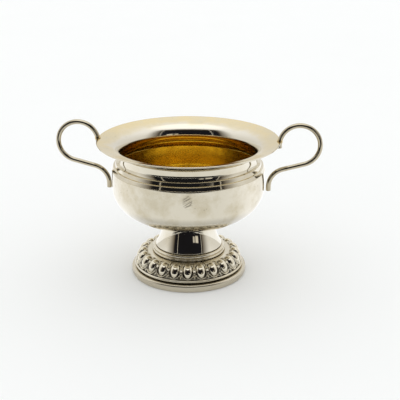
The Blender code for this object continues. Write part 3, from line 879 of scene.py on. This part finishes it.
def handle(name, side, node):
    """Wire surface: route point + radius (outward normal cos a + sideways sin a)."""
    at = np.concatenate([END_PLACES, along[2:-2], along[-1] - END_PLACES[::-1]])
    x = np.interp(at, along, route[:, 0])
    z = np.interp(at, along, route[:, 1])
    turned = np.interp(at, along, heading)
    size = np.concatenate([END_SIZES, np.ones(len(along) - 4), END_SIZES[::-1]])
    rim_place = RIM_TOP - UNDER_RIM - route[0, 1]
    swell = SWELL * np.exp(-((at - rim_place) / SWELL_REACH) ** 2) * (size > 0)
    radius = (size * WIRE + swell)[:, None]
    a = np.linspace(0, 2 * np.pi, AROUND_WIRE, endpoint=False)[None, :]
    out_x, out_z = -np.sin(turned)[:, None], np.cos(turned)[:, None]
    px = side * (x[:, None] + radius * np.cos(a) * out_x)
    pz = z[:, None] + radius * np.cos(a) * out_z
    on_wire = np.stack([at[:, None] * ALONG_SCALE + 0 * a, WIRE * np.cos(a) + 0 * px,
                        WIRE * np.sin(a) + 0 * px], 2)
    # painted reflection of the gilt rim: pale gold on the wire just below the rim
    rim_reflection_paint = REFLECTION_PAINT * np.exp(-((at - rim_place - REFLECTION_PAINT_BELOW) / REFLECTION_PAINT_REACH) ** 2)[:, None] + 0 * a
    piece = skin(name, np.stack([px, radius * np.sin(a), pz], 2), close_rows=False,
                 finishes=(drawn_silver,), marks={"on_wire": on_wire, "rim_reflection_paint": rim_reflection_paint})
    return place(piece, node)


handle("wire_handle_right", 1, "handle_right")
handle("wire_handle_left", -1, "handle_left")


# %% [markdown]
# ## Floor
# The bowl stands on plain pale paper, wide enough that its edge is never in view. Uncoated
# paper scatters light evenly, so it gives the eye soft shade under the bowl and no shine.

# %% Make the floor
FLOOR = 7.0                     # m, half its width


def paper():
    """White paper: nearly even, with a very faint mottle."""
    finish, tree = new_finish("white_paper")
    here = add(tree, "TexCoord").outputs["Object"]
    mottle = add(tree, "TexNoise", {"Scale": 9.0, "Detail": 2.0}, {"Vector": here})
    tone = add(tree, "Mix", {6: linear("#f7f8f8"), 7: linear("#f9fafa")},
               {0: mottle.outputs["Fac"]}, data_type="RGBA")
    shader = add(tree, "BsdfPrincipled", {"Roughness": 0.85, "Specular IOR Level": 0.1},
                 {"Base Color": tone.outputs[2]})
    add(tree, "OutputMaterial", links={"Surface": shader})
    return finish


floor_mesh = bpy.data.meshes.new("paper_floor")
floor_mesh.from_pydata([(-FLOOR, -FLOOR, 0), (FLOOR, -FLOOR, 0), (FLOOR, FLOOR, 0),
                        (-FLOOR, FLOOR, 0)], [], [(0, 1, 2, 3)])
floor_mesh.materials.append(paper())
floor = bpy.data.objects.new("paper_floor", floor_mesh)
bpy.context.scene.collection.objects.link(floor)
print("floor width in m:", 2 * FLOOR)


# %% [markdown]
# ## Light
# Silver shows what stands round it, so it is lit by a white cloth tent with an opening in
# front: white from above, both sides and behind, dark in front. That dark opening draws the
# dark lines that give the mouldings their shape. Here the tent is the world: its brightness
# is a function of direction, worked out from the angle round the object and the height
# above level. A window is a soft rectangle in those two angles.

# %% The windows of the tent
world = bpy.data.worlds.new("light_tent")
world.use_nodes = True
bpy.context.scene.world = world
tree = world.node_tree
tree.nodes.clear()
direction = add(tree, "TexCoord").outputs["Generated"]
axis = add(tree, "SeparateXYZ", links={"Vector": direction})
toward_lens = add(tree, "Math", {1: -1.0}, {0: axis.outputs["Y"]}, operation="MULTIPLY")
sideways = add(tree, "Math", links={0: axis.outputs["X"], 1: toward_lens}, operation="ARCTAN2")
height_angle = add(tree, "Math", links={0: axis.outputs["Z"]}, operation="ARCSINE")


def between(value, low, high, soft):
    """1 where the angle lies between low and high degrees, with soft edges."""
    low, high, soft = math.radians(low), math.radians(high), math.radians(soft)
    rise = add(tree, "MapRange", {"From Min": low - soft, "From Max": low + soft},
               {"Value": value}, interpolation_type="SMOOTHSTEP")
    fall = add(tree, "MapRange", {"From Min": high - soft, "From Max": high + soft, **FALL},
               {"Value": value}, interpolation_type="SMOOTHSTEP")
    return add(tree, "Math", links={0: rise, 1: fall}, operation="MULTIPLY")


def window(azimuths, elevations, soft, soft_sides=None):
    """Soft rectangle in angle round the object and height above level."""
    wide = between(sideways, *azimuths, soft_sides or soft)
    tall = between(height_angle, *elevations, soft)
    return add(tree, "Math", links={0: wide, 1: tall}, operation="MULTIPLY")


shade = window((-68.0, 73.0), (-22.0, 52.0), 3.0, soft_sides=18.0)
opening = window((-54.0, 59.0), (-22.0, 44.0), 6.0, soft_sides=4.0)
print("nodes for two windows:", len(tree.nodes))

# %% [markdown]
# The cloth is grey-white low down, brighter above and brightest overhead. Its edge round
# the opening is in shade, and narrow slits in the dark give the thin gleams on the
# mouldings. The paper gets its own even light, and the backdrop is plain.

# %% The brightness of the tent
LOW_CLOTH, HIGH_CLOTH = (0.87, 0.86, 0.83, 1.0), (1.15, 1.16, 1.17, 1.0)
ROOF, SHADED_EDGE = (1.5, 1.5, 1.49, 1.0), (0.15, 0.125, 0.095, 1.0)
DARK_ROOM, GLEAM = (0.012, 0.012, 0.015, 1.0), (1.0, 0.95, 0.84, 1.0)
ON_PAPER, BACKDROP = (1.03, 1.035, 1.03, 1.0), (0.92, 0.93, 0.94, 1.0)
CLOTH_RISES, ROOF_BEGINS = (5, 52), (52, 70)    # degrees above level
SLITS = (                       # angles round, angles above level, softness, strength
    ((-39.5, -38.1), (-10.0, 48.0), 0.5, 0.7), ((54.0, 55.4), (-10.0, 48.0), 0.5, 0.7),
    ((22.0, 29.0), (4.0, 14.0), 0.8, 0.6), ((32.0, 43.0), (3.0, 14.0), 0.8, 0.75))

up, over = [add(tree, "MapRange", {"From Min": math.radians(low), "From Max": math.radians(high)},
                {"Value": height_angle}, interpolation_type="SMOOTHSTEP")
            for low, high in (CLOTH_RISES, ROOF_BEGINS)]
tent = add(tree, "Mix", {6: LOW_CLOTH, 7: HIGH_CLOTH}, {0: up}, data_type="RGBA")
layers = [(over, ROOF), (shade, SHADED_EDGE), (opening, DARK_ROOM)]
for azimuths, elevations, soft, strength in SLITS:
    glow = add(tree, "Math", {1: strength}, {0: window(azimuths, elevations, soft)},
               operation="MULTIPLY")
    layers.append((glow, GLEAM))
ray = add(tree, "LightPath").outputs
layers.append((ray["Is Diffuse Ray"], ON_PAPER))
for amount, colour in layers:
    tent = add(tree, "Mix", {7: colour}, {0: amount, 6: tent.outputs[2]}, data_type="RGBA")
background = add(tree, "Background", {"Strength": 1.0}, {"Color": tent.outputs[2]})
plain = add(tree, "Background", {"Color": BACKDROP, "Strength": 1.0})
both = add(tree, "MixShader", links={0: ray["Is Camera Ray"], 1: background, 2: plain})
add(tree, "OutputWorld", links={"Surface": both})
bpy.context.scene.view_settings.view_transform = "Standard"
print("tent nodes:", len(tree.nodes))

# %% [markdown]
# The belly of the bowl is upright, so it mirrors the ground round it and not the tent. A
# flat ring of card lies there: cream towards the lens, white at the sides and behind, and
# black where the dark room begins. It shows in reflections only, so the paper stays plain.

# %% Lay the ring of card
CARD_INNER, CARD_MIDDLE, CARD_OUTER, CARD_LIFT = 42.0, 250.0, 2500.0, 0.4   # mm
ROOM_BEGINS, ROOM_SOFT, BOWL_SHADE = 0.235, 0.02, 0.08      # m from the bowl
CREAM, WHITE = (0.92, 0.93, 0.92, 1.0), (1.2, 1.22, 1.26, 1.0)
BLACK = (0.01, 0.01, 0.011, 1.0)


def card_finish():
    """Brightness by place: u is the angle away from the front, the room begins where the
    place lies ROOM_BEGINS in front of the axis, and the bowl shades the card near it."""
    finish, tree = new_finish("studio_card")
    here = add(tree, "TexCoord").outputs["Object"]
    place_xyz = add(tree, "SeparateXYZ", links={"Vector": here})
    front = add(tree, "Math", {1: -1.0}, {0: place_xyz.outputs["Y"]}, operation="MULTIPLY")
    u = add(tree, "Math", links={0: place_xyz.outputs["X"], 1: front}, operation="ARCTAN2")
    away = add(tree, "Math", links={0: u}, operation="ABSOLUTE")
    side = add(tree, "MapRange", {"From Min": math.radians(40), "From Max": math.radians(115)},
               {"Value": away}, interpolation_type="SMOOTHSTEP")
    lit = add(tree, "Mix", {6: CREAM, 7: WHITE}, {0: side}, data_type="RGBA")
    room = add(tree, "MapRange", {"From Min": ROOM_BEGINS,
                                   "From Max": ROOM_BEGINS + ROOM_SOFT},
               {"Value": front}, interpolation_type="SMOOTHSTEP")
    near_middle = add(tree, "MapRange", {"From Min": math.radians(52),
                                         "From Max": math.radians(72), **FALL},
                      {"Value": away})
    dark = add(tree, "Math", links={0: room, 1: near_middle}, operation="MULTIPLY")
    colour = add(tree, "Mix", {7: BLACK}, {0: dark, 6: lit.outputs[2]}, data_type="RGBA")
    distance = add(tree, "VectorMath", links={0: here}, operation="LENGTH")
    under_bowl = add(tree, "MapRange", {"From Min": CARD_INNER * MM, "From Max": BOWL_SHADE,
                                        "To Min": 0.7, "To Max": 1.0},
                     {"Value": distance.outputs["Value"]}, interpolation_type="SMOOTHSTEP")
    glow = add(tree, "Emission", links={"Color": colour.outputs[2], "Strength": under_bowl})
    add(tree, "OutputMaterial", links={"Surface": glow})
    return finish


card_line = np.array([(radius, CARD_LIFT) for radius in (CARD_INNER, CARD_MIDDLE, CARD_OUTER)])
card = skin("studio_card", turn(card_line, 96), close_rows=False, finishes=(card_finish(),))
card.visible_camera = card.visible_diffuse = card.visible_shadow = False
print("card from", CARD_INNER, "to", CARD_OUTER, "mm")


# %% [markdown]
# ## Camera
# The camera stands half a metre away, about 20 degrees above level and about 5 degrees
# round towards the right handle, with a lens long enough to keep the bowl's shape true.

# %% Place the camera
DISTANCE, EYE_HEIGHT = 0.506, 0.2308
ROUND, PITCH = math.radians(4.7), math.radians(20.11)
LENS_MM, SENSOR_MM = 79.73, 36.0
OFF_AXIS = 13.0 / 885.9         # how far the bowl's axis stands left of the middle
CLOSEST = 0.01                  # m

heading_angle = ROUND - math.atan(OFF_AXIS * math.cos(PITCH))
forward = Vector((-math.sin(heading_angle) * math.cos(PITCH),
                  math.cos(heading_angle) * math.cos(PITCH), -math.sin(PITCH)))
right = Vector((math.cos(heading_angle), math.sin(heading_angle), 0.0))
upward = right.cross(forward)
camera_data = bpy.data.cameras.new("camera")
camera_data.lens, camera_data.sensor_width = LENS_MM, SENSOR_MM
camera_data.clip_start = CLOSEST
camera = bpy.data.objects.new("camera", camera_data)
camera.matrix_world = Matrix((right, upward, -forward)).transposed().to_4x4()
camera.location = (DISTANCE * math.sin(ROUND), -DISTANCE * math.cos(ROUND), EYE_HEIGHT)
bpy.context.scene.collection.objects.link(camera)
bpy.context.scene.camera = camera
print("camera looks down by", round(math.degrees(PITCH), 1), "degrees")
